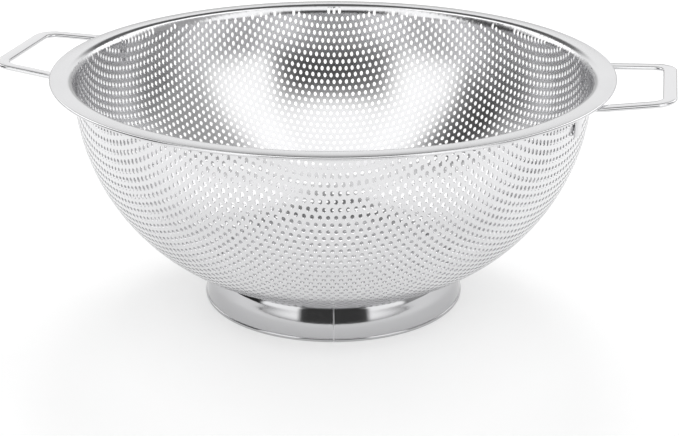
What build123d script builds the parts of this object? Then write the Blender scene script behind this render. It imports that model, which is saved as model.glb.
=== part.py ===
from build123d import *
from math import asin, atan2, ceil, cos, degrees, hypot, pi, radians, sin, sqrt, tan
import os

# Stainless steel colander: one drawn, perforated bowl, a foot ring and two flat-bar handles.
# Millimetres. The origin is the centre of the foot, on the table. +Z is up, the handles lie along X.

# Bowl
bowl_sheet = 0.6
rim_radius = 142.5
rim_flat_width = 7.7
rim_bend_radius = 4.7
hem_height = 1.6
hem_fold_width = 3.2
hem_corner = 0.4
straight_wall_height = 2.2
bowl_curve_radius = 106.2
base_lift = 3.94
base_knuckle_radius = 40.0

# Perforations, as punched in the flat blank before it is drawn.
# The real grid is seven times as fine each way: this one has its layout and its open share.
hole_diameter = 13.6
hole_pitch = 30.45
row_pitch = 23.24
hole_sides = 8
hole_row_angle = 11.7
plain_band_at_rim = 12.5
plain_band_at_foot = 4.0

# Foot ring, seated on the wall a little above the knuckle
foot_seat_rise = 3.65
foot_sheet = 0.8
foot_height = 17.4
foot_taper = 3.8
foot_bow = 0.7
foot_bead_height = 2.0
foot_bead_proud = 0.6
foot_bead_corner = 0.5
foot_flange_width = 4.5
foot_seat_gap = 0.2
seam_weld_width = 0.8
seam_weld_proud = 0.15
seam_direction = -78.0

# Handles
handle_projection = 25.5
handle_end_half_width = 32.0
handle_splay_angle = 10.0
handle_rise_angle = 5.0
handle_corner_radius = 9.5
bar_width = 7.0
bar_thickness = 1.9
bar_edge = 0.55
tab_length = 15.0
tab_bend_radius = 2.6
hem_clearance = 0.15
tab_gap = 0.2

# Spot-weld nuggets
nugget_diameter = 3.0
nugget_sides = 6
nugget_relief = 0.03
nuggets_per_tab = 2
nuggets_on_foot = 8

# How far a punch stands past both faces of the sheet
punch_overrun = 2.0

# Places worked out from the sizes above
full_turn = 2 * pi
quarter_turn = pi / 2
wall_radius = rim_radius - rim_flat_width - rim_bend_radius + bowl_sheet
curve_centre_radius = wall_radius - bowl_curve_radius
knuckle_reach = bowl_curve_radius - base_knuckle_radius
knuckle_drop = knuckle_reach - base_lift
knuckle_angle = asin(knuckle_drop / knuckle_reach)
base_flat_radius = curve_centre_radius + knuckle_reach * cos(knuckle_angle)
seat_angle = knuckle_angle - foot_seat_rise / bowl_curve_radius
curve_centre_height = foot_height + bowl_curve_radius * sin(seat_angle)
knuckle_centre_height = curve_centre_height - knuckle_drop
base_bottom = knuckle_centre_height - base_knuckle_radius
foot_top_radius = curve_centre_radius + bowl_curve_radius * cos(seat_angle)
foot_wall_radius = foot_top_radius + foot_taper
foot_radius = foot_wall_radius + foot_bead_proud
bend_centre_radius = rim_radius - rim_flat_width
bend_centre_height = curve_centre_height + straight_wall_height
rim_top = bend_centre_height + rim_bend_radius


def wall_point(angle, inset=0.0):
    """Radius and height on the bowl's large curve, inset from its outer skin.

    The angle is measured down from the horizontal."""
    reach = bowl_curve_radius - inset
    return curve_centre_radius + reach * cos(angle), curve_centre_height - reach * sin(angle)


def knuckle_point(angle, inset=0.0):
    """Radius and height on the knuckle round the flat base, inset from its outer skin."""
    reach = base_knuckle_radius - inset
    return base_flat_radius + reach * cos(angle), knuckle_centre_height - reach * sin(angle)


def bend_point(angle, inset=0.0):
    """Radius and height on the bend below the rim, inset from its outer skin."""
    reach = rim_bend_radius - bowl_sheet + inset
    return bend_centre_radius - reach * cos(angle), bend_centre_height + reach * sin(angle)


def arc_through(place, start, end, inset=0.0):
    """The arc that a place function follows between two angles."""
    return ThreePointArc(*[place(a, inset) for a in (start, (start + end) / 2, end)])


def half_section(edges):
    """A closed face in the XZ plane, from edges drawn as radius and height."""
    return Plane.XZ * make_face(Curve() + edges)


def bowl_skin(inset):
    """One skin of the bowl's half section, from the axis up to the rim's flat."""
    return [
        Line((0, base_bottom + inset), knuckle_point(quarter_turn, inset)),
        arc_through(knuckle_point, quarter_turn, knuckle_angle, inset),
        arc_through(wall_point, knuckle_angle, 0, inset),
        Line(wall_point(0, inset), bend_point(0, inset)),
        arc_through(bend_point, 0, quarter_turn, inset),
    ]


def make_plain_bowl():
    """The drawn bowl before its holes: base, wall, bend, flat rim and folded hem in one sheet."""
    hem_end_radius = rim_radius - hem_fold_width
    hem_bottom = rim_top - hem_height
    rim_underside = rim_top - bowl_sheet
    rim = [
        Line(bend_point(quarter_turn), (hem_end_radius, rim_underside)),
        Line((hem_end_radius, rim_underside), (hem_end_radius, hem_bottom)),
        Line((hem_end_radius, hem_bottom), (rim_radius - hem_corner, hem_bottom)),
        Line((rim_radius - hem_corner, hem_bottom), (rim_radius, hem_bottom + hem_corner)),
        Line((rim_radius, hem_bottom + hem_corner), (rim_radius, rim_top - hem_corner)),
        Line((rim_radius, rim_top - hem_corner), (rim_radius - hem_corner, rim_top)),
        Line((rim_radius - hem_corner, rim_top), bend_point(quarter_turn, bowl_sheet)),
    ]
    axis_edge = Line((0, base_bottom), (0, base_bottom + bowl_sheet))
    section = half_section([axis_edge] + bowl_skin(0) + rim + bowl_skin(bowl_sheet))
    return revolve(section, Axis.Z)


def blank_radius(angle):
    """Where a slope of the drawn wall lay on the flat blank, if drawing keeps the sheet's area."""
    on_knuckle = max(angle, knuckle_angle)
    on_curve = min(angle, knuckle_angle)
    flat = base_flat_radius ** 2 / 2
    knuckle = base_knuckle_radius * (
        base_flat_radius * (quarter_turn - on_knuckle) + base_knuckle_radius * (1 - sin(on_knuckle))
    )
    curve = bowl_curve_radius * (
        curve_centre_radius * (knuckle_angle - on_curve)
        + bowl_curve_radius * (sin(knuckle_angle) - sin(on_curve))
    )
    return sqrt(2 * (flat + knuckle + curve))


def drawn_place(on_blank):
    """Radius, height and slope that a radius of the blank is drawn to."""
    if on_blank <= base_flat_radius:
        return on_blank, base_bottom, quarter_turn
    low, high = 0.0, quarter_turn
    for _ in range(40):
        middle = (low + high) / 2
        low, high = (middle, high) if blank_radius(middle) > on_blank else (low, middle)
    place = knuckle_point(low) if low > knuckle_angle else wall_point(low)
    return *place, low


def make_punch(azimuth, radius, height, angle, squeeze):
    """A punch square to the wall. Drawing has narrowed its hole across and stretched it along."""
    normal = Vector(cos(angle) * cos(azimuth), cos(angle) * sin(azimuth), -sin(angle))
    foot = Vector(radius * cos(azimuth), radius * sin(azimuth), height) - normal * punch_overrun
    face = Plane(origin=foot, x_dir=(-sin(azimuth), cos(azimuth), 0), z_dir=normal)
    half_across = hole_diameter * squeeze / 2
    half_along = hole_diameter / squeeze / 2
    corner = full_turn / hole_sides
    outline = [
        (half_across * sin(corner * k), half_along * cos(corner * k)) for k in range(hole_sides)
    ]
    return extrude(face * make_face(Polyline(*outline, close=True)), 2 * punch_overrun)


def make_punches():
    """The staggered grid of the flat blank, each hole carried onto the drawn bowl."""
    reach = blank_radius(asin(plain_band_at_rim / bowl_curve_radius)) - hole_diameter / 2
    clear_of_foot = plain_band_at_foot + hole_diameter / 2
    rows = ceil(reach / row_pitch)
    columns = ceil(reach / hole_pitch)
    punches = []
    for row in range(-rows, rows + 1):
        for column in range(-columns, columns + 1):
            x = (column + row % 2 / 2) * hole_pitch
            y = row * row_pitch
            on_blank = hypot(x, y)
            radius, height, angle = drawn_place(on_blank)
            if on_blank > reach or abs(radius - foot_top_radius) < clear_of_foot:
                continue
            azimuth = atan2(y, x) + radians(hole_row_angle)
            squeeze = radius / on_blank if on_blank else 1
            punches.append(make_punch(azimuth, radius, height, angle, squeeze))
    return punches


def make_bowl():
    """The perforated bowl."""
    return make_plain_bowl() - make_punches()


def foot_section(proud):
    """Half section of the foot strip: bead, bowed wall and the flange that lies under the bowl.

    The outer face of bead and wall can stand proud of the strip, as the seam weld does."""
    inner_radius = foot_wall_radius - foot_sheet
    outer_radius = foot_wall_radius + proud
    flange_top = -foot_seat_gap
    flange_under = -foot_seat_gap - foot_sheet
    flange_angle = seat_angle + foot_flange_width / bowl_curve_radius
    top = wall_point(seat_angle, flange_top)
    top_out = (top[0] + proud, top[1])
    under_angle = seat_angle + foot_sheet / bowl_curve_radius
    under = wall_point(under_angle, flange_under)

    def bowed(low, high):
        """An arc from low to high that bows away from the axis."""
        run, climb = high[0] - low[0], high[1] - low[1]
        bow_share = foot_bow / hypot(run, climb)
        middle = (
            (low[0] + high[0]) / 2 + climb * bow_share,
            (low[1] + high[1]) / 2 - run * bow_share,
        )
        return ThreePointArc(low, middle, high)

    bead_radius = foot_radius + proud
    bead_top = (outer_radius, foot_bead_height)
    edges = [
        Line((inner_radius, 0), (outer_radius, 0)),
        Line((outer_radius, 0), (bead_radius, foot_bead_corner)),
        Line((bead_radius, foot_bead_corner), (bead_radius, foot_bead_height - foot_bead_corner)),
        Line((bead_radius, foot_bead_height - foot_bead_corner), bead_top),
        bowed(bead_top, top_out),
        arc_through(wall_point, seat_angle, flange_angle, flange_top),
        Line(wall_point(flange_angle, flange_top), wall_point(flange_angle, flange_under)),
        arc_through(wall_point, flange_angle, under_angle, flange_under),
        bowed((inner_radius, foot_bead_height), under),
        Line((inner_radius, foot_bead_height), (inner_radius, 0)),
    ]
    if proud:
        edges.append(Line(top_out, top))
    return half_section(edges)


def make_foot():
    """The foot strip, rolled round and left open by the width of its seam weld, and that weld."""
    weld_turn = seam_weld_width / foot_wall_radius * 180 / pi
    first = Rot(0, 0, seam_direction + weld_turn / 2)
    strip = revolve(first * foot_section(0.0), Axis.Z, 360 - weld_turn)
    weld = revolve(Rot(0, 0, seam_direction - weld_turn / 2) * foot_section(seam_weld_proud), Axis.Z, weld_turn)
    return strip, weld


# Handle places, in the plan view of the handle at +X
splay = radians(handle_splay_angle)
rise = radians(handle_rise_angle)
handle_reach = rim_radius + handle_projection
bar_top = rim_top - hem_height - hem_clearance
bar_middle = bar_top - bar_thickness / 2
tab_end_height = bar_top - tab_length
tab_flat_length = tab_length - bar_thickness - tab_bend_radius
tab_angle = asin((curve_centre_height - tab_end_height - tab_flat_length / 2) / bowl_curve_radius)


def leg_offset(x, side=0.0):
    """Distance at x of a leg's line from the handle's middle, side being off its centre line."""
    return handle_end_half_width + (handle_reach - x) * tan(splay) + side / cos(splay)


def find_elbow():
    """Where a leg's centre line crosses the middle of the rim: there it turns square to the wall."""
    elbow_radius = (wall_radius + rim_radius) / 2
    x = elbow_radius
    for _ in range(40):
        x = sqrt(elbow_radius ** 2 - leg_offset(x) ** 2)
    return x, leg_offset(x)


elbow_x, elbow_y = find_elbow()
elbow_azimuth = atan2(elbow_y, elbow_x)
lift_x = sqrt(rim_radius ** 2 - elbow_y ** 2) + bar_edge


def bar_outline(side, start):
    """Leg, end and leg from above, side off the bar's centre line, with both corners rounded."""
    end = handle_reach + side
    near, far = leg_offset(start, side), leg_offset(end, side)
    outline = make_face(Polyline((start, -near), (end, -far), (end, far), (start, near), close=True))
    corners = outline.vertices().filter_by(lambda v: v.X > (start + end) / 2)
    return fillet(corners, handle_corner_radius + side)


def bar_side_view():
    """The bar seen from the side: level under the rim, then rising to its end."""
    half = bar_thickness / 2
    near = elbow_x - bar_width
    far = handle_reach + bar_width
    climb = (far - lift_x) * tan(rise)
    mitre = half * tan(rise / 2)
    lower = [(near, -half), (lift_x + mitre, -half), (far + mitre, climb - half)]
    upper = [(far - mitre, climb + half), (lift_x - mitre, half), (near, half)]
    return Plane.XZ * make_face(Polyline(*lower, *upper, close=True))


def is_long_edge(edge):
    """True for the edges that run along the bar, not across it or through its thickness."""
    middle, direction = edge.center(), edge.tangent_at(0)
    through = abs(direction.Z) > sin(2 * rise)
    across = abs(direction.Y) > cos(splay / 2) and middle.X < lift_x + bar_width
    return not through and not across


def make_bar():
    """The U-shaped part of a handle: its side view cut to its outline, and the two elbows."""
    outline = bar_outline(bar_width / 2, elbow_x) - bar_outline(-bar_width / 2, elbow_x - bar_width)
    bar = extrude(bar_side_view(), handle_reach, both=True) & extrude(outline, rim_top, both=True)
    bar = chamfer(bar.edges().filter_by(is_long_edge), bar_edge)
    elbow = extrude(Circle(bar_width / 2), bar_thickness / 2, both=True)
    elbow = chamfer(elbow.edges().filter_by(GeomType.CIRCLE), bar_edge)
    for side in (1, -1):
        bar += Pos(elbow_x, side * elbow_y, 0) * elbow
    return Pos(0, 0, bar_middle) * bar


def make_tab(side):
    """The end of a leg: from the elbow in to the wall, then bent down flat against it."""

    def on_tab(height, off):
        """A point of the tab's flat at a height, off its face against the wall."""
        radius, level = wall_point(tab_angle, -tab_gap - off)
        return radius + (height - level) * tan(tab_angle), height

    elbow_radius = hypot(elbow_x, elbow_y)
    outer_bend = on_tab(bar_top, 0)
    inner_bend = on_tab(bar_top - bar_thickness, bar_thickness)
    outline = [
        (elbow_radius, bar_top),
        outer_bend,
        on_tab(tab_end_height, 0),
        on_tab(tab_end_height, bar_thickness),
        inner_bend,
        (elbow_radius, bar_top - bar_thickness),
    ]
    section = make_face(Polyline(*outline, close=True))
    for corner, radius in ((outer_bend, tab_bend_radius + bar_thickness), (inner_bend, tab_bend_radius)):
        vertex = section.vertices().sort_by_distance(Vector(*corner))[0]
        section = fillet(vertex, radius)
    tab = extrude(Plane.XZ * section, bar_width / 2, both=True)
    tab = chamfer(tab.faces().filter_by(Axis.Y).edges(), bar_edge)
    return Rot(0, 0, degrees(side * elbow_azimuth)) * tab


def make_handle():
    """The handle at +X: one flat bar with both ends bent down on the wall."""
    return make_bar() + make_tab(1) + make_tab(-1)


def make_nugget(azimuth, angle, gap):
    """A spot-weld nugget that fills the gap outside the bowl's wall."""
    radius, height = wall_point(angle, -nugget_relief)
    normal = Vector(cos(angle) * cos(azimuth), cos(angle) * sin(azimuth), -sin(angle))
    seat = Plane(origin=(radius * cos(azimuth), radius * sin(azimuth), height), z_dir=normal)
    return extrude(seat * RegularPolygon(nugget_diameter / 2, nugget_sides), gap - 2 * nugget_relief)


def make_handle_nuggets():
    """The nuggets between the four tabs and the wall."""
    step = tab_flat_length / nuggets_per_tab
    nuggets = []
    for azimuth in (elbow_azimuth, -elbow_azimuth, pi + elbow_azimuth, pi - elbow_azimuth):
        for index in range(nuggets_per_tab):
            height = tab_end_height + (index + 1 / 2) * step
            angle = asin((curve_centre_height - height) / bowl_curve_radius)
            nuggets.append(make_nugget(azimuth, angle, tab_gap))
    return Compound(nuggets)


def make_foot_nuggets():
    """The nuggets between the foot's flange and the bowl, evenly round, clear of the seam."""
    angle = seat_angle + foot_flange_width / 2 / bowl_curve_radius
    step = full_turn / nuggets_on_foot
    first = radians(seam_direction) + step / 2
    return Compound([make_nugget(first + step * k, angle, foot_seat_gap) for k in range(nuggets_on_foot)])


handle = make_handle()
foot_ring, foot_seam_weld = make_foot()

pieces = {
    "bowl": make_bowl(),
    "foot_ring": foot_ring,
    "foot_seam_weld": foot_seam_weld,
    "foot_weld_nuggets": make_foot_nuggets(),
    "handle_right": handle,
    "handle_left": Rot(0, 0, 180) * handle,
    "handle_weld_nuggets": make_handle_nuggets(),
}

os.makedirs("parts", exist_ok=True)
for name, piece in pieces.items():
    piece.label = name
    export_step(piece, f"parts/{name}.step")
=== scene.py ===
"""A stainless steel colander: perforated drawn bowl, foot ring and two flat-bar handles. Metres."""

from math import acos, asin, atan2, ceil, cos, dist, hypot, pi, radians, sin, sqrt, tan

import bpy
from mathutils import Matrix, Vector


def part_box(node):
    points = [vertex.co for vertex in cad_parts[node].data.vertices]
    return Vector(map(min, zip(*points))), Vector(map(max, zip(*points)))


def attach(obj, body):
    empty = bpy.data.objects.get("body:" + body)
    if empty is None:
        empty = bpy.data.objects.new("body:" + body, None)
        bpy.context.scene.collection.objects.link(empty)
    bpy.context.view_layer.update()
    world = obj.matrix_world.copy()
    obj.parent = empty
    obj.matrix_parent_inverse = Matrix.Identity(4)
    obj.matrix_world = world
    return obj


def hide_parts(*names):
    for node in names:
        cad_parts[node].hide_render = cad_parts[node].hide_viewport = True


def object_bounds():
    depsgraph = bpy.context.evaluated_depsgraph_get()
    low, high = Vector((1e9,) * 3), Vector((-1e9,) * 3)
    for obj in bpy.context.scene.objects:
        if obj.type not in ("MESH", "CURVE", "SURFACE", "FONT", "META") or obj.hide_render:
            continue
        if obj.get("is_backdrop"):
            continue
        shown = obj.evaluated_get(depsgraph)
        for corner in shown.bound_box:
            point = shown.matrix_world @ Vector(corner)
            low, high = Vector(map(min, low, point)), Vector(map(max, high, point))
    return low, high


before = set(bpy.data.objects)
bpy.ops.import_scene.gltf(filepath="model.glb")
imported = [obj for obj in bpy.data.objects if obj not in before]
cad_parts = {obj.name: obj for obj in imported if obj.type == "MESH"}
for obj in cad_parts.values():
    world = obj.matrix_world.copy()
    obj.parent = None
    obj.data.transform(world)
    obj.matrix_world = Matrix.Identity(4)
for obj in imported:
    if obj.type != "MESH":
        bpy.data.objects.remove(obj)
cad_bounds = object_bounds()

MM = 0.001
QUARTER = pi / 2
TURN = 2 * pi
UP = Vector((0.0, 0.0, 1.0))

# Bowl, with its overall sizes from the frame
bowl_low, bowl_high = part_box("bowl")
rim_radius = (bowl_high.x - bowl_low.x) / 2
rim_top = bowl_high.z
base_bottom = bowl_low.z
sheet = 0.6 * MM
rim_flat = 7.7 * MM
rim_bend = 4.7 * MM
hem_height = 1.6 * MM
hem_fold = 3.2 * MM
straight_wall = 2.2 * MM
wall_curve = 106.2 * MM
knuckle_curve = 40.0 * MM
base_flat = 47.0 * MM

# Perforations in the flat blank, and how far up the bend they and their sheet reach
hole_pitch = 4.35 * MM
row_pitch = 3.32 * MM
hole_diameter = 2.25 * MM
row_angle = radians(11.7)
holes_up_bend = radians(16.0)
sheet_up_bend = radians(50.0)

# The sheet keeps the cells whose middles lie at most this share of a row past its edge, and its
# quarters part a little to the side of the cells' middles
edge_row_share = 0.57
quarter_nudge = hole_pitch / 8

# Points this close are made one, and no radius less than this is divided by
merge_distance = MM / 100
least_radius = MM / 1000

# Foot ring
foot_low, foot_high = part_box("foot_ring")
foot_radius = (foot_high.x - foot_low.x) / 2
foot_sheet = 0.8 * MM
foot_taper = 3.8 * MM
foot_bow = 0.6 * MM
foot_shoulder = 0.74 * MM
shoulder_power = 10
bead_height = 2.0 * MM
bead_proud = 0.6 * MM
flange_width = 4.5 * MM
seat_gap = 0.2 * MM
seam_direction = radians(-78.0)
seam_width = 0.8 * MM
seam_proud = 0.15 * MM

# Handles. The tab takes its slope from the wall at a share of its own length
bar_width = 7.0 * MM
bar_thickness = 1.9 * MM
bar_round = 0.9 * MM
handle_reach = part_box("handle_right")[1].x - bar_width / 2
end_half_width = 32.0 * MM
splay = radians(10.0)
rise = radians(5.0)
corner_curve = 9.5 * MM
elbow_curve = 6.0 * MM
tab_length = 15.0 * MM
tab_bend = 3.6 * MM
tab_touch_share = 0.6
hem_clearance = 0.15 * MM
tab_gap = 0.2 * MM

# How finely the round forms are cut, and the angles past which an edge stays sharp
rim_segments = 384
foot_segments = 360
seam_segments = 6
bend_steps = 8
fold_steps = 12
foot_wall_steps = 28
flange_steps = 4
bar_round_steps = 5
grip_steps = 8
corner_steps = 14
leg_steps = 16
elbow_steps = 6
reach_steps = 3
tab_bend_steps = 10
tab_steps = 5
newton_steps = 6
elbow_rounds = 30
turned_sharp = radians(35)
bar_sharp = radians(40)
hole_sharp = radians(40)

# Finish of every steel: clouds of roughness, polishing lines round the axis and a fine grain, and
# where the painted shade on the bowl's inner skin begins
cloud_scale = 38.0
cloud_detail = 4.0
cloud_low = 0.3
cloud_high = 0.7
line_scale = 2600.0
line_detail = 3.0
line_stretch = 0.02
line_height_share = 0.4
grain_detail = 5.0
bump_strength = 0.35
darker_share = 0.95
inner_skin_share = 0.9

# The photograph's camera, with its focal length in the photograph's pixels
view_azimuth = radians(11.7)
camera_back = 738.49 * MM
camera_aside = 3.212 * MM
camera_height = 330.24 * MM
camera_dip = 0.375
focal_pixels = 1500.0
frame_pixels = 679.0
sensor_width = 36.0
far_clip = 50.0

# Studio ground and the lamp behind the table
ground_half = 6.0
ground_grey = 0.50
ground_glow = 0.50
lamp_place = (-0.25, 1.5, 1.8)
lamp_target = (0.0, 0.0, 0.05)
lamp_size = 0.8
lamp_power = 24.0

# What stands round the table, each thing over those before it, as azimuths from the camera's
# side and heights above the horizon, in degrees: left, right, low, high, softness of the edge,
# brightness
wall_level = 0.55
ceiling_level = 0.92
ceiling_start = 58.0
ceiling_edge = 10.0
studio = {
    "dark low wall": (-140.0, 140.0, -8.0, 13.0, 2.5, 0.12),
    "light over the camera": (-30.0, 30.0, 36.0, 80.0, 5.0, 1.4),
    "dark cloth behind the camera": (-28.0, 28.0, -8.0, 32.0, 6.0, 0.06),
    "grey panel at the right": (68.0, 112.0, -8.0, 50.0, 8.0, 0.45),
    "dark panel at the left": (-98.0, -67.0, -8.0, 52.0, 6.0, 0.03),
    "left window": (-66.0, -30.0, 1.0, 80.0, 3.0, 1.5),
    "right window": (31.0, 66.0, 1.0, 80.0, 3.0, 1.5),
    "white back wall, right half": (120.0, 200.0, 11.0, 90.0, 2.0, 1.1),
    "white back wall, left half": (-200.0, -120.0, 11.0, 90.0, 2.0, 1.1),
    "right light at the back": (110.0, 144.0, 12.0, 75.0, 4.0, 1.9),
    "left light at the back": (-144.0, -110.0, 12.0, 75.0, 4.0, 1.9),
    "dark panel at the back, right half": (146.0, 200.0, 25.0, 84.0, 4.0, 0.12),
    "dark panel at the back, left half": (-200.0, -146.0, 25.0, 84.0, 4.0, 0.12),
}

# Places worked out from the sizes
wall_radius = rim_radius - rim_flat - rim_bend + sheet
curve_centre_radius = wall_radius - wall_curve
bend_curve = rim_bend - sheet
bend_centre_radius = rim_radius - rim_flat
bend_centre_height = rim_top - rim_bend
curve_centre_height = bend_centre_height - straight_wall
knuckle_centre_height = base_bottom + knuckle_curve
knuckle_angle = atan2(curve_centre_height - knuckle_centre_height, base_flat - curve_centre_radius)
wall_top_angle = -asin(straight_wall / wall_curve)
foot_wall_radius = foot_radius - bead_proud
foot_top_radius = foot_wall_radius - foot_taper
seat_angle = acos((foot_top_radius - curve_centre_radius) / wall_curve)
bar_top = rim_top - hem_height - hem_clearance
bar_middle = bar_top - bar_thickness / 2


def arc_area(centre, curve, start, end):
    """Half the gain in the square of the blank's radius that an arc of the drawn bowl takes up."""
    return curve * (centre * (start - end) + curve * (sin(start) - sin(end)))


flat_area = base_flat ** 2 / 2
knuckle_area = arc_area(base_flat, knuckle_curve, QUARTER, knuckle_angle)
wall_area = arc_area(curve_centre_radius, wall_curve, knuckle_angle, wall_top_angle)


def blank_radius(turn):
    """Where a turn of the rim's bend lay on the blank, if drawing keeps the sheet's area."""
    bend_area = arc_area(bend_centre_radius, bend_curve, pi, pi - turn)
    return sqrt(2 * (flat_area + knuckle_area + wall_area + bend_area))


def wall_point(angle, inset=0.0):
    """Radius and height on the bowl's large curve, inset from its outer skin."""
    reach = wall_curve - inset
    return curve_centre_radius + reach * cos(angle), curve_centre_height - reach * sin(angle)


def bend_point(angle, inset=0.0):
    """Radius and height on the bend below the rim, inset from its outer skin."""
    reach = bend_curve + inset
    return bend_centre_radius - reach * cos(angle), bend_centre_height + reach * sin(angle)


def steps(start, end, count):
    """Evenly spaced values from start to end, both included."""
    return [start + (end - start) * k / count for k in range(count + 1)]


def make_piece(name, vertices, faces, material):
    """A new object at the origin, its place in its mesh."""
    mesh = bpy.data.meshes.new(name)
    mesh.from_pydata(vertices, [], faces)
    mesh.update()
    piece = bpy.data.objects.new(name, mesh)
    bpy.context.scene.collection.objects.link(piece)
    piece.data.materials.append(material)
    return piece


def smooth_by_angle(piece, angle):
    """Smooth shading, with the edges sharper than angle kept sharp."""
    mesh = piece.data
    mesh.polygons.foreach_set("use_smooth", [True] * len(mesh.polygons))
    mesh.set_sharp_from_angle(angle=angle)


def revolve_outline(name, outline, material, segments, start=0.0, sweep=TURN):
    """Turns a closed outline of radii and heights about the upright axis, and caps a part turn."""
    closed = sweep >= TURN
    rings = segments if closed else segments + 1
    size = len(outline)
    vertices = []
    for k in range(rings):
        azimuth = start + sweep * k / segments
        vertices += [(r * cos(azimuth), r * sin(azimuth), z) for r, z in outline]
    faces = []
    for k in range(segments):
        near, far = k * size, (k + 1) % rings * size
        for j in range(size):
            after = (j + 1) % size
            faces.append((near + j, far + j, far + after, near + after))
    if not closed:
        faces.append(tuple(range(size)))
        faces.append(tuple(reversed(range(segments * size, rings * size))))
    piece = make_piece(name, vertices, faces, material)
    smooth_by_angle(piece, turned_sharp)
    return piece


class NodeSet:
    """Short calls that add nodes to a tree and join them."""

    def __init__(self, tree):
        self.tree = tree

    def join(self, value, socket):
        """Links a socket to a socket, or sets a plain value on it."""
        if isinstance(value, bpy.types.NodeSocket):
            self.tree.links.new(value, socket)
        else:
            socket.default_value = value

    def add(self, kind, *values, **settings):
        """A node with its inputs in order, its inputs by name as in_Name, and its settings."""
        node = self.tree.nodes.new(kind)
        names = {key: value for key, value in settings.items() if key.startswith("in_")}
        for key, value in settings.items():
            if key not in names:
                setattr(node, key, value)
        for index, value in enumerate(values):
            self.join(value, node.inputs[index])
        for key, value in names.items():
            self.join(value, node.inputs[key[3:].replace("_", " ")])
        return node

    def math(self, operation, *values):
        """The result of one step of arithmetic."""
        return self.add("ShaderNodeMath", *values, operation=operation).outputs[0]

    def position(self):
        """Where each point of the geometry lies."""
        return self.add("GeometryNodeInputPosition").outputs[0]


def cell_outline():
    """Corners and side middles of the cell round one hole of the staggered grid."""
    side = (row_pitch ** 2 - hole_pitch ** 2 / 4) / (2 * row_pitch)
    quarter = [(hole_pitch / 2, side), (hole_pitch / 4, row_pitch / 2), (0.0, row_pitch - side)]
    upper = [(hole_pitch / 2, 0.0)] + quarter + [(-x, y) for x, y in reversed(quarter[:2])]
    return upper + [(-x, -y) for x, y in upper]


def make_cell(name, holed):
    """One cell of the flat sheet, with or without its hole."""
    outline = cell_outline()
    count = len(outline)
    radius = hole_diameter / 2
    turns = [TURN * k / count for k in range(count)]
    vertices = [(x, y, 0.0) for x, y in outline]
    vertices += [(radius * cos(a), radius * sin(a), 0.0) for a in turns]
    rounds = [(k, (k + 1) % count) for k in range(count)]
    faces = [(a, b, count + b, count + a) for a, b in rounds]
    if not holed:
        vertices.append((0.0, 0.0, 0.0))
        faces += [(count + a, count + b, 2 * count) for a, b in rounds]
    mesh = bpy.data.meshes.new(name)
    mesh.from_pydata(vertices, [], faces)
    return bpy.data.objects.new(name, mesh)


def add_cell_centres(nodes, given):
    """Centres of the staggered cells in a quarter of the sheet, and how far out each lies."""
    math = nodes.math
    pitch, rows = given["Hole Pitch"], given["Row Pitch"]
    reach = blank_radius(sheet_up_bend)
    columns_count = 2 * ceil(reach / hole_pitch) + 1
    rows_count = 2 * ceil(reach / row_pitch) + 1
    grid = nodes.add(
        "GeometryNodeMeshGrid",
        math("MULTIPLY", pitch, columns_count - 1),
        math("MULTIPLY", rows, rows_count - 1),
        columns_count,
        rows_count,
    )
    place = nodes.add("ShaderNodeSeparateXYZ", nodes.position())
    row_number = math("ROUND", math("DIVIDE", place.outputs["Y"], rows))
    odd = math("MODULO", math("ABSOLUTE", row_number), 2.0)
    shift = math("MULTIPLY", math("MULTIPLY", odd, 0.5), pitch)
    offset = nodes.add("ShaderNodeCombineXYZ", shift).outputs[0]
    centres = nodes.add("GeometryNodeSetPosition", grid.outputs["Mesh"], in_Offset=offset)

    # One quarter of the sheet, so that no piece is too heavy
    position = nodes.position()
    place = nodes.add("ShaderNodeSeparateXYZ", position)
    outside = []
    for axis, side in (("X", "Side"), ("Y", "Front")):
        nudged = math("ADD", place.outputs[axis], quarter_nudge)
        outside.append(math("LESS_THAN", math("MULTIPLY", nudged, given[side]), 0.0))
    distance = nodes.add("ShaderNodeVectorMath", position, operation="LENGTH").outputs["Value"]
    limit = math("ADD", given["Sheet Reach"], row_pitch * edge_row_share)
    beyond = math("GREATER_THAN", distance, limit)
    unwanted = math("MAXIMUM", math("MAXIMUM", *outside), beyond)
    kept = nodes.add("GeometryNodeDeleteGeometry", centres.outputs[0], unwanted, domain="POINT")
    return kept.outputs[0], distance


def add_punched_sheet(nodes, given, centres, distance):
    """A holed or a plain cell at each centre, joined to a flat sheet that ends on a circle."""
    math = nodes.math
    holed = math("LESS_THAN", distance, given["Hole Reach"])
    plain = math("SUBTRACT", 1.0, holed)
    cells = nodes.add("GeometryNodeJoinGeometry")
    for name, chosen in (("Holed Cell", holed), ("Plain Cell", plain)):
        cell = nodes.add("GeometryNodeObjectInfo", given[name]).outputs["Geometry"]
        points = nodes.add("GeometryNodeInstanceOnPoints", centres, chosen, cell)
        nodes.join(points.outputs[0], cells.inputs[0])
    flat = nodes.add("GeometryNodeRealizeInstances", cells.outputs[0])
    position = nodes.position()
    length = nodes.add("ShaderNodeVectorMath", position, operation="LENGTH").outputs["Value"]
    limit = math("MINIMUM", 1.0, math("DIVIDE", given["Sheet Reach"], length))
    trimmed = nodes.add("ShaderNodeVectorMath", position, operation="SCALE", in_Scale=limit)
    flat = nodes.add("GeometryNodeSetPosition", flat.outputs[0], in_Position=trimmed.outputs[0])
    flat = nodes.add("GeometryNodeMergeByDistance", flat.outputs[0], in_Distance=merge_distance)
    return flat.outputs[0]


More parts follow.
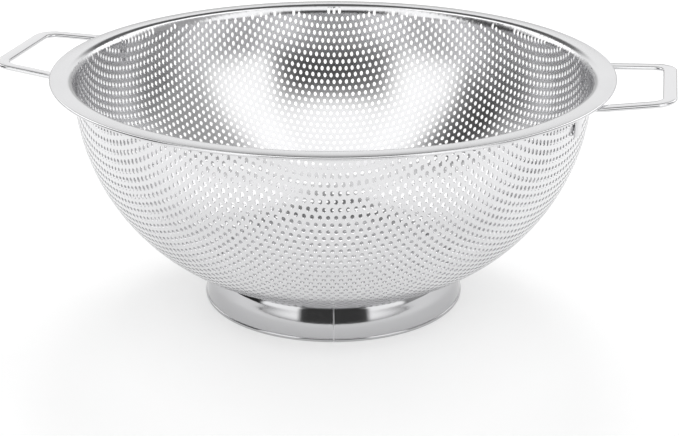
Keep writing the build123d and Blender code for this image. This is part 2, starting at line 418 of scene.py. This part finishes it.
def add_thickness(nodes, flat, thickness):
    """The flat sheet with its thickness and the walls of its holes."""
    lift = nodes.add("ShaderNodeCombineXYZ", in_Z=thickness).outputs[0]
    raised = nodes.add(
        "GeometryNodeExtrudeMesh", flat, in_Offset=lift, in_Offset_Scale=1.0, in_Individual=False
    )
    under = nodes.add("GeometryNodeFlipFaces", flat)
    both = nodes.add("GeometryNodeJoinGeometry")
    for part in (raised, under):
        nodes.join(part.outputs[0], both.inputs[0])
    solid = nodes.add("GeometryNodeMergeByDistance", both.outputs[0], in_Distance=merge_distance)
    return solid.outputs[0]


def turned_angle(nodes, area, centre, curve, start):
    """Slope at which an arc of the bowl has taken up an area of the blank, by Newton steps."""
    math = nodes.math
    angle = math("SUBTRACT", start, math("DIVIDE", area, curve * (centre + curve / 2)))
    for _ in range(newton_steps):
        rise_part = math("MULTIPLY", math("SINE", angle), curve ** 2)
        line_part = math("MULTIPLY", angle, curve * centre)
        taken = math("SUBTRACT", curve * (centre * start + curve * sin(start)), rise_part)
        taken = math("SUBTRACT", taken, line_part)
        slope = math("MULTIPLY_ADD", math("COSINE", angle), curve ** 2, curve * centre)
        step = math("DIVIDE", math("SUBTRACT", taken, area), slope)
        angle = math("ADD", angle, step)
    return angle


def add_drawing(nodes, position):
    """Where drawing takes a place of the blank: area is kept on base, knuckle, wall and bend."""
    math = nodes.math
    x, y, inset = nodes.add("ShaderNodeSeparateXYZ", position).outputs
    squared = math("ADD", math("MULTIPLY", x, x), math("MULTIPLY", y, y))
    on_blank = math("MAXIMUM", math("SQRT", squared), least_radius)

    # How much of the blank's area lies on each form, and the angle that it turns through there
    area = math("MULTIPLY", squared, 0.5)
    past_flat = math("MAXIMUM", math("SUBTRACT", area, flat_area), 0.0)
    on_knuckle = math("MINIMUM", past_flat, knuckle_area)
    past_knuckle = math("MAXIMUM", math("SUBTRACT", past_flat, knuckle_area), 0.0)
    on_wall = math("MINIMUM", past_knuckle, wall_area)
    on_bend = math("MAXIMUM", math("SUBTRACT", past_knuckle, wall_area), 0.0)
    knuckle_turn = turned_angle(nodes, on_knuckle, base_flat, knuckle_curve, QUARTER)
    wall_turn = turned_angle(nodes, on_wall, curve_centre_radius, wall_curve, knuckle_angle)
    bend_turn = turned_angle(nodes, on_bend, bend_centre_radius, bend_curve, pi)
    bend_turn = math("SUBTRACT", pi, bend_turn)
    slope = math("SUBTRACT", math("ADD", knuckle_turn, wall_turn), knuckle_angle)
    slope = math("ADD", slope, bend_turn)

    # Radius and height, form by form, and then square to the sheet by the inset
    radius = math("MINIMUM", on_blank, base_flat)
    radius = math("MULTIPLY_ADD", math("COSINE", knuckle_turn), knuckle_curve, radius)
    across = math("SUBTRACT", math("COSINE", wall_turn), cos(knuckle_angle))
    radius = math("MULTIPLY_ADD", across, wall_curve, radius)
    outward = math("SUBTRACT", 1.0, math("COSINE", bend_turn))
    radius = math("MULTIPLY_ADD", outward, bend_curve, radius)
    radius = math("SUBTRACT", radius, math("MULTIPLY", inset, math("COSINE", slope)))
    height = math("SUBTRACT", 1.0, math("SINE", knuckle_turn))
    height = math("MULTIPLY_ADD", height, knuckle_curve, base_bottom)
    climb = math("SUBTRACT", sin(knuckle_angle), math("SINE", wall_turn))
    height = math("MULTIPLY_ADD", climb, wall_curve, height)
    height = math("MULTIPLY_ADD", math("SINE", bend_turn), bend_curve, height)
    height = math("MULTIPLY_ADD", inset, math("SINE", slope), height)
    spread = math("DIVIDE", radius, on_blank)
    x, y = math("MULTIPLY", x, spread), math("MULTIPLY", y, spread)
    drawn = nodes.add("ShaderNodeCombineXYZ", x, y, height).outputs[0]
    turned = nodes.add(
        "ShaderNodeVectorRotate", drawn, in_Angle=row_angle, rotation_type="Z_AXIS"
    )
    return turned.outputs[0]


def make_sheet_tree():
    """Geometry nodes that punch the flat blank full of holes and draw it to the bowl's form."""
    tree = bpy.data.node_groups.new("perforated_bowl", "GeometryNodeTree")
    nodes = NodeSet(tree)
    interface = tree.interface
    interface.new_socket("Geometry", in_out="OUTPUT", socket_type="NodeSocketGeometry")
    kinds = {
        "Holed Cell": "NodeSocketObject",
        "Plain Cell": "NodeSocketObject",
        "Hole Pitch": "NodeSocketFloat",
        "Row Pitch": "NodeSocketFloat",
        "Hole Reach": "NodeSocketFloat",
        "Sheet Reach": "NodeSocketFloat",
        "Thickness": "NodeSocketFloat",
        "Side": "NodeSocketFloat",
        "Front": "NodeSocketFloat",
        "Finish": "NodeSocketMaterial",
    }
    sockets = {
        name: interface.new_socket(name, in_out="INPUT", socket_type=kind).identifier
        for name, kind in kinds.items()
    }
    given = nodes.add("NodeGroupInput").outputs
    centres, distance = add_cell_centres(nodes, given)
    flat = add_punched_sheet(nodes, given, centres, distance)
    solid = add_thickness(nodes, flat, given["Thickness"])

    # The blank's own place is kept for the finish, and then the blank is drawn
    position = nodes.position()
    kept = nodes.add("GeometryNodeStoreNamedAttribute", solid, data_type="FLOAT_VECTOR")
    nodes.join("blank", kept.inputs["Name"])
    nodes.join(position, kept.inputs["Value"])
    drawn = add_drawing(nodes, position)
    formed = nodes.add("GeometryNodeSetPosition", kept.outputs[0], in_Position=drawn)

    # Smooth skins, with the edges of the holes left sharp
    formed = nodes.add("GeometryNodeSetShadeSmooth", formed.outputs[0], domain="FACE")
    bend = nodes.add("GeometryNodeInputMeshEdgeAngle").outputs["Unsigned Angle"]
    sharp = nodes.math("GREATER_THAN", bend, hole_sharp)
    formed = nodes.add(
        "GeometryNodeSetShadeSmooth", formed.outputs[0], sharp, False, domain="EDGE"
    )
    whole = nodes.add("GeometryNodeRealizeInstances", formed.outputs[0])
    finished = nodes.add("GeometryNodeSetMaterial", whole.outputs[0], in_Material=given["Finish"])
    nodes.add("NodeGroupOutput", finished.outputs[0])
    return tree, sockets


def make_bowl_walls(material):
    """The perforated sheet in four quarters, each a plain mesh."""
    tree, sockets = make_sheet_tree()
    holed, plain = make_cell("holed_cell", True), make_cell("plain_cell", False)
    quarters = {
        "bowl_back_right": (1.0, 1.0),
        "bowl_back_left": (-1.0, 1.0),
        "bowl_front_right": (1.0, -1.0),
        "bowl_front_left": (-1.0, -1.0),
    }
    pieces = []
    for name, (side, front) in quarters.items():
        piece = bpy.data.objects.new(name, bpy.data.meshes.new(name))
        bpy.context.scene.collection.objects.link(piece)
        modifier = piece.modifiers.new("perforated", "NODES")
        modifier.node_group = tree
        values = {
            "Holed Cell": holed,
            "Plain Cell": plain,
            "Hole Pitch": hole_pitch,
            "Row Pitch": row_pitch,
            "Hole Reach": blank_radius(holes_up_bend),
            "Sheet Reach": blank_radius(sheet_up_bend),
            "Thickness": sheet,
            "Side": side,
            "Front": front,
            "Finish": material,
        }
        for key, value in values.items():
            modifier[sockets[key]] = value
        graph = bpy.context.evaluated_depsgraph_get()
        mesh = bpy.data.meshes.new_from_object(piece.evaluated_get(graph))
        piece.modifiers.remove(modifier)
        mesh.name = name
        piece.data = mesh
        pieces.append(piece)
    for cell in (holed, plain):
        bpy.data.objects.remove(cell)
    return pieces


def make_rim(material):
    """The plain top of the bowl: end of the bend, flat rim and folded hem."""
    fold = hem_height / 2
    fold_radius = rim_radius - fold
    hem_end = rim_radius - hem_fold
    under = rim_top - sheet
    outline = [bend_point(a) for a in steps(sheet_up_bend, QUARTER, bend_steps)]
    outline += [(hem_end, under), (hem_end, rim_top - hem_height)]
    outline += [
        (fold_radius + fold * sin(a), rim_top - fold - fold * cos(a))
        for a in steps(0, pi, fold_steps)
    ]
    outline += [bend_point(a, sheet) for a in steps(QUARTER, sheet_up_bend, bend_steps)]
    return revolve_outline("bowl_rim", outline, material, rim_segments)


def bowed(low, high):
    """Points from low to high that bow away from the axis and lean in over a soft shoulder."""
    run, climb = high[0] - low[0], high[1] - low[1]
    length = hypot(run, climb)
    points = []
    for share in steps(0, 1, foot_wall_steps):
        shoulder = foot_shoulder * share ** shoulder_power * (1 - share) * (shoulder_power + 1)
        out = (foot_bow * sin(pi * share) + shoulder) / length
        points.append((low[0] + run * share + climb * out, low[1] + climb * share - run * out))
    return points


def foot_outline(proud=0.0):
    """Half section of the foot strip: bead, bowed wall and the flange under the bowl."""
    inner = foot_wall_radius - foot_sheet
    outer = foot_wall_radius + proud
    flange_angle = seat_angle + flange_width / wall_curve
    under_angle = seat_angle + foot_sheet / wall_curve
    under_inset = -seat_gap - foot_sheet
    top_radius, top_height = wall_point(seat_angle, -seat_gap)
    bead = bead_height / 2
    outline = [(inner, 0.0)]
    outline += [
        (outer + (bead_proud + proud) * cos(a), bead + bead * sin(a))
        for a in steps(-QUARTER, QUARTER, fold_steps)
    ]
    outline += bowed((outer, bead_height), (top_radius + proud, top_height))[1:]
    outline += [wall_point(a, -seat_gap) for a in steps(seat_angle, flange_angle, flange_steps)]
    outline += [
        wall_point(a, under_inset) for a in steps(flange_angle, under_angle, flange_steps)
    ]
    outline += bowed((inner, bead_height), wall_point(under_angle, under_inset))[-2::-1]
    return [p for k, p in enumerate(outline) if dist(p, outline[k - 1]) > merge_distance]


def make_foot(material, weld_material):
    """The polished foot strip and the weld that closes it."""
    half = seam_width / foot_wall_radius / 2
    strip_start, strip_sweep = seam_direction + half, TURN - 2 * half
    weld_start, weld_sweep = seam_direction - half, 2 * half
    strip = revolve_outline(
        "foot_strip", foot_outline(), material, foot_segments, strip_start, strip_sweep
    )
    weld = revolve_outline(
        "foot_weld_line", foot_outline(seam_proud), weld_material, seam_segments,
        weld_start, weld_sweep,
    )
    return strip, weld


def bar_section():
    """Outline of the flat bar, width by thickness, with rounded edges."""
    points = []
    for quarter in range(4):
        side = 1 if quarter in (0, 3) else -1
        top = 1 if quarter in (0, 1) else -1
        centre = (side * (bar_width / 2 - bar_round), top * (bar_thickness / 2 - bar_round))
        for turn in steps(quarter * QUARTER, (quarter + 1) * QUARTER, bar_round_steps):
            points.append((centre[0] + bar_round * cos(turn), centre[1] + bar_round * sin(turn)))
    return points


def find_elbow():
    """Where the splayed leg meets the circle on which it turns in to the wall."""
    elbow_radius = (wall_radius + rim_radius) / 2
    x = elbow_radius
    for _ in range(elbow_rounds):
        y = end_half_width + (handle_reach - x) * tan(splay)
        x = sqrt(elbow_radius ** 2 - y ** 2)
    return x, end_half_width + (handle_reach - x) * tan(splay)


def handle_plan(elbow):
    """Places in plan and headings along half the bar, from the middle of the grip to the wall."""
    corner_turn = QUARTER - splay
    grip_end = end_half_width - corner_curve * tan(corner_turn / 2)
    stations = [((handle_reach, y), QUARTER) for y in steps(0, grip_end, grip_steps)[:-1]]
    centre = (handle_reach - corner_curve, grip_end)
    for turn in steps(0, corner_turn, corner_steps):
        spot = (centre[0] + corner_curve * cos(turn), centre[1] + corner_curve * sin(turn))
        stations.append((spot, QUARTER + turn))
    heading = QUARTER + corner_turn
    elbow_turn = pi + atan2(elbow[1], elbow[0]) - heading
    elbow_run = elbow_curve * tan(elbow_turn / 2)
    leg_start = stations[-1][0]
    leg_end = (elbow[0] - elbow_run * cos(heading), elbow[1] - elbow_run * sin(heading))
    for share in steps(0, 1, leg_steps)[1:]:
        spot = (
            leg_start[0] + (leg_end[0] - leg_start[0]) * share,
            leg_start[1] + (leg_end[1] - leg_start[1]) * share,
        )
        stations.append((spot, heading))
    centre = (leg_end[0] - elbow_curve * sin(heading), leg_end[1] + elbow_curve * cos(heading))
    for turn in steps(0, elbow_turn, elbow_steps)[1:]:
        now = heading + turn
        spot = (centre[0] + elbow_curve * sin(now), centre[1] - elbow_curve * cos(now))
        stations.append((spot, now))
    return stations


def bar_frames(stations, elbow):
    """Place, direction across the bar and direction through it. The bar rises past the hem."""
    lift = sqrt(rim_radius ** 2 - elbow[1] ** 2) + bar_round
    frames = []
    for (x, y), now in stations:
        tilt = rise * min(1.0, max(0.0, (x - lift + bar_width / 2) / bar_width))
        climb = max(0.0, x - lift) * tan(rise)
        forward = Vector((cos(now), sin(now), 0.0))
        through = Vector((-sin(tilt), 0.0, cos(tilt)))
        across = forward.cross(through).normalized()
        frames.append((Vector((x, y, bar_middle + climb)), across, through))
    return frames


def tab_frames(station, elbow):
    """The end of the bar: straight in to the wall, round the bend and down along the wall."""
    spot, now = station
    inward = Vector((cos(now), sin(now), 0.0))
    across = inward.cross(UP)
    tab_middle = curve_centre_height - (bar_top - tab_length * tab_touch_share)
    tab_slope = asin(tab_middle / wall_curve)
    face_radius, face_height = wall_point(tab_slope, -tab_gap - bar_thickness / 2)
    turn_down = QUARTER - tab_slope
    line_radius = face_radius + (bar_middle - face_height) * tan(tab_slope)
    bend_start = line_radius + tab_bend * tan(turn_down / 2)
    azimuth = atan2(elbow[1], elbow[0])
    frames = []
    for radius in steps(hypot(*spot), bend_start, reach_steps)[1:]:
        place = (radius * cos(azimuth), radius * sin(azimuth), bar_middle)
        frames.append((Vector(place), across, UP))
    bend_centre = frames[-1][0] - Vector((0.0, 0.0, tab_bend))
    for turn in steps(0, turn_down, tab_bend_steps)[1:]:
        through = inward * sin(turn) + Vector((0.0, 0.0, cos(turn)))
        frames.append((bend_centre + through * tab_bend, across, through))
    down = inward * cos(turn_down) - Vector((0.0, 0.0, sin(turn_down)))
    last, _, through = frames[-1]
    tab_run = (last.z - (bar_top - tab_length)) / sin(turn_down)
    frames += [(last + down * run, across, through) for run in steps(0, tab_run, tab_steps)[1:]]
    return frames


def mirrored(vector):
    """A place or direction on the other side of the upright plane through both handles."""
    return Vector((vector.x, -vector.y, vector.z))


def make_handle(name, material, facing):
    """A flat bar bent to a U in plan, its ends turned to the wall and bent down on it."""
    elbow = find_elbow()
    stations = handle_plan(elbow)
    half = bar_frames(stations, elbow) + tab_frames(stations[-1], elbow)
    path = [tuple(mirrored(part) for part in row) for row in reversed(half[1:])] + half
    section = bar_section()
    size = len(section)
    vertices = []
    for place, across, through in path:
        for u, v in section:
            x, y, z = place + across * u + through * v
            vertices.append((facing * x, facing * y, z))
    faces = []
    for k in range(len(path) - 1):
        near, far = k * size, (k + 1) * size
        for j in range(size):
            after = (j + 1) % size
            faces.append((near + j, near + after, far + after, far + j))
    faces.append(tuple(reversed(range(size))))
    faces.append(tuple(range((len(path) - 1) * size, len(path) * size)))
    piece = make_piece(name, vertices, faces, material)
    smooth_by_angle(piece, bar_sharp)
    return piece


def shade(colour, share=1.0):
    """A share of a colour, as a socket takes it."""
    return (*[part * share for part in colour], 1.0)


def steel_material(
    name, colour, roughness, spread, grain_scale, grain_depth, line_share, painted_inside_shade=None
):
    """Polished stainless: cloudy roughness, fine grain, polishing lines round the axis, and a
    painted shade on the inner skin if given.
    """
    material = bpy.data.materials.new(name)
    material.use_nodes = True
    tree = material.node_tree
    nodes = NodeSet(tree)
    math = nodes.math
    shader = tree.nodes["Principled BSDF"]
    nodes.join(1.0, shader.inputs["Metallic"])

    # Lines run round the axis, because their pattern hardly changes with the azimuth
    place = nodes.add("ShaderNodeTexCoord").outputs["Object"]
    x, y, z = nodes.add("ShaderNodeSeparateXYZ", place).outputs
    radius = math("SQRT", math("ADD", math("POWER", x, 2.0), math("POWER", y, 2.0)))
    azimuth = math("MULTIPLY", math("ARCTAN2", y, x), line_stretch)
    rings = nodes.add("ShaderNodeCombineXYZ", azimuth, radius, z).outputs[0]
    noise = "ShaderNodeTexNoise"
    lines = nodes.add(noise, in_Vector=rings, in_Scale=line_scale, in_Detail=line_detail)
    cloud = nodes.add(noise, in_Vector=place, in_Scale=cloud_scale, in_Detail=cloud_detail)
    grain = nodes.add(noise, in_Vector=place, in_Scale=grain_scale, in_Detail=grain_detail)
    lines, cloud, grain = lines.outputs[0], cloud.outputs[0], grain.outputs[0]

    low, high = roughness - spread, roughness + spread
    rough = nodes.add("ShaderNodeMapRange", cloud, cloud_low, cloud_high, low, high).outputs[0]
    worn = math("MULTIPLY_ADD", math("SUBTRACT", lines, 0.5), line_share, rough)
    nodes.join(worn, shader.inputs["Roughness"])

    tint = nodes.add("ShaderNodeMix", data_type="RGBA")
    nodes.join(cloud, tint.inputs[0])
    nodes.join(shade(colour, darker_share), tint.inputs[6])
    nodes.join(shade(colour), tint.inputs[7])
    shown = tint.outputs[2]
    # If given, the inner skin is painted a darker colour than the outer skin: painted shade, as
    # both are the same steel
    if painted_inside_shade:
        kept = nodes.add("ShaderNodeAttribute", attribute_name="blank").outputs["Vector"]
        depth = nodes.add("ShaderNodeSeparateXYZ", kept).outputs["Z"]
        inside_shade_mix = nodes.add("ShaderNodeMix", data_type="RGBA")
        nodes.join(math("GREATER_THAN", depth, sheet * inner_skin_share), inside_shade_mix.inputs[0])
        nodes.join(shown, inside_shade_mix.inputs[6])
        nodes.join(shade(painted_inside_shade), inside_shade_mix.inputs[7])
        shown = inside_shade_mix.outputs[2]
    nodes.join(shown, shader.inputs["Base Color"])

    relief = math("MULTIPLY_ADD", lines, line_height_share, grain)
    bump = nodes.add(
        "ShaderNodeBump", in_Strength=bump_strength, in_Distance=grain_depth, in_Height=relief
    )
    nodes.join(bump.outputs[0], shader.inputs["Normal"])
    return material


def white_stage_material():
    """Matt white that shows as a white studio ground and still takes the shadow."""
    material = bpy.data.materials.new("studio_ground")
    material.use_nodes = True
    tree = material.node_tree
    nodes = NodeSet(tree)
    tree.nodes.remove(tree.nodes["Principled BSDF"])
    path = nodes.add("ShaderNodeLightPath").outputs
    seen = nodes.math("ADD", path["Is Glossy Ray"], path["Is Camera Ray"])
    strength = nodes.math("MULTIPLY", seen, ground_glow)
    matt = nodes.add("ShaderNodeBsdfDiffuse", shade((ground_grey, ground_grey, ground_grey)))
    glow = nodes.add("ShaderNodeEmission", shade((1.0, 1.0, 1.0)), strength)
    both = nodes.add("ShaderNodeAddShader", matt.outputs[0], glow.outputs[0])
    nodes.join(both.outputs[0], tree.nodes["Material Output"].inputs["Surface"])
    return material


def make_stage():
    """The floor under the colander."""
    half = ground_half
    corners = [(-half, -half, 0.0), (half, -half, 0.0), (half, half, 0.0), (-half, half, 0.0)]
    floor = make_piece("studio_floor", corners, [(0, 1, 2, 3)], white_stage_material())
    floor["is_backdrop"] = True


def soft_band(nodes, value, low, high, edge):
    """1 between low and high, 0 outside, with soft edges. All in radians."""
    ends = []
    for limit in (low, high):
        step = nodes.add(
            "ShaderNodeMapRange", value, limit - edge, limit + edge,
            interpolation_type="SMOOTHSTEP",
        )
        ends.append(step.outputs[0])
    return nodes.math("SUBTRACT", ends[0], ends[1])


def make_world():
    """A white studio for the steel to mirror: grey walls, a bright ceiling, windows and panels."""
    world = bpy.data.worlds.new("studio")
    bpy.context.scene.world = world
    world.use_nodes = True
    nodes = NodeSet(world.node_tree)
    math = nodes.math
    background = world.node_tree.nodes["Background"]
    direction = nodes.add("ShaderNodeTexCoord").outputs["Generated"]
    x, y, z = nodes.add("ShaderNodeSeparateXYZ", direction).outputs
    turn_cos, turn_sin = cos(view_azimuth), sin(view_azimuth)
    aside = math("MULTIPLY_ADD", x, turn_cos, math("MULTIPLY", y, turn_sin))
    near = math("MULTIPLY_ADD", x, turn_sin, math("MULTIPLY", y, -turn_cos))
    azimuth = math("ARCTAN2", aside, near)
    elevation = math("ARCSINE", z)
    start, end = radians(ceiling_start - ceiling_edge), radians(ceiling_start + ceiling_edge)
    level = nodes.add(
        "ShaderNodeMapRange", elevation, start, end, wall_level, ceiling_level
    ).outputs[0]
    for left, right, low, high, edge, brightness in studio.values():
        across = soft_band(nodes, azimuth, radians(left), radians(right), radians(edge))
        upright = soft_band(nodes, elevation, radians(low), radians(high), radians(edge))
        mask = math("MULTIPLY", across, upright)
        change = math("SUBTRACT", brightness, level)
        level = math("MULTIPLY_ADD", change, mask, level)

    # The camera sees plain white
    seen = nodes.add("ShaderNodeLightPath").outputs["Is Camera Ray"]
    nodes.join(shade((1.0, 1.0, 1.0)), background.inputs["Color"])
    nodes.join(math("MAXIMUM", level, seen), background.inputs["Strength"])


def make_back_lamp():
    """A soft square lamp behind the table, kept out of the steel's reflections."""
    lamp = bpy.data.lights.new("back_lamp", "AREA")
    lamp.shape = "RECTANGLE"
    lamp.size = lamp_size
    lamp.size_y = lamp_size
    lamp.energy = lamp_power
    holder = bpy.data.objects.new("back_lamp", lamp)
    bpy.context.scene.collection.objects.link(holder)
    holder.location = lamp_place
    holder.visible_glossy = False
    aim = Vector(lamp_target) - Vector(lamp_place)
    holder.rotation_euler = aim.to_track_quat("-Z", "Y").to_euler()


def make_camera():
    """The photograph's view: 33 cm above the table, 74 cm in front and a little to the right."""
    data = bpy.data.cameras.new("camera")
    data.sensor_width = sensor_width
    data.lens = focal_pixels * sensor_width / frame_pixels
    data.clip_end = far_clip
    camera = bpy.data.objects.new("camera", data)
    bpy.context.scene.collection.objects.link(camera)
    camera.location = (
        camera_aside * cos(view_azimuth) + camera_back * sin(view_azimuth),
        camera_aside * sin(view_azimuth) - camera_back * cos(view_azimuth),
        camera_height,
    )
    camera.rotation_euler = (QUARTER - camera_dip, 0.0, view_azimuth)
    bpy.context.scene.camera = camera


def dress(piece, node):
    """Puts a piece on the colander's one body, in the place of its plain solid."""
    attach(piece, "root")
    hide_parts(node)


# The bowl's inside colour is painted shade: the same steel as the outside, painted darker
bowl_steel = steel_material(
    "bowl_steel", (0.77, 0.77, 0.78), roughness=0.22, spread=0.03, grain_scale=700.0,
    grain_depth=0.05 * MM, line_share=0.05, painted_inside_shade=(0.66, 0.66, 0.67),
)
rim_steel = steel_material(
    "rim_steel", (0.71, 0.71, 0.72), roughness=0.16, spread=0.02, grain_scale=900.0,
    grain_depth=0.02 * MM, line_share=0.05,
)
# The foot's colour is painted darker than the other steel: painted shade, standing in for the
# shadowed floor that it mirrors
foot_steel = steel_material(
    "foot_steel", (0.54, 0.54, 0.55), roughness=0.07, spread=0.02, grain_scale=900.0,
    grain_depth=0.01 * MM, line_share=0.03,
)
handle_steel = steel_material(
    "handle_steel", (0.71, 0.71, 0.72), roughness=0.10, spread=0.02, grain_scale=900.0,
    grain_depth=0.02 * MM, line_share=0.05,
)
weld_steel = steel_material(
    "weld_steel", (0.70, 0.70, 0.71), roughness=0.30, spread=0.05, grain_scale=2500.0,
    grain_depth=0.05 * MM, line_share=0.05,
)

for wall in make_bowl_walls(bowl_steel):
    dress(wall, "bowl")
dress(make_rim(rim_steel), "bowl")

foot_strip, foot_weld = make_foot(foot_steel, weld_steel)
dress(foot_strip, "foot_ring")
dress(foot_weld, "foot_seam_weld")

for node, facing in (("handle_right", 1), ("handle_left", -1)):
    dress(make_handle(node + "_bar", handle_steel, facing), node)

# The nuggets keep their solids and get the weld's finish
for node in ("foot_weld_nuggets", "handle_weld_nuggets"):
    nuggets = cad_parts[node]
    nuggets.data.materials.clear()
    nuggets.data.materials.append(weld_steel)

make_stage()
make_world()
make_back_lamp()
make_camera()
bpy.context.scene.view_settings.view_transform = "Standard"

boxes = {"cad": cad_bounds, "visual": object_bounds()}
{key: [list(corner) for corner in box] for key, box in boxes.items()}
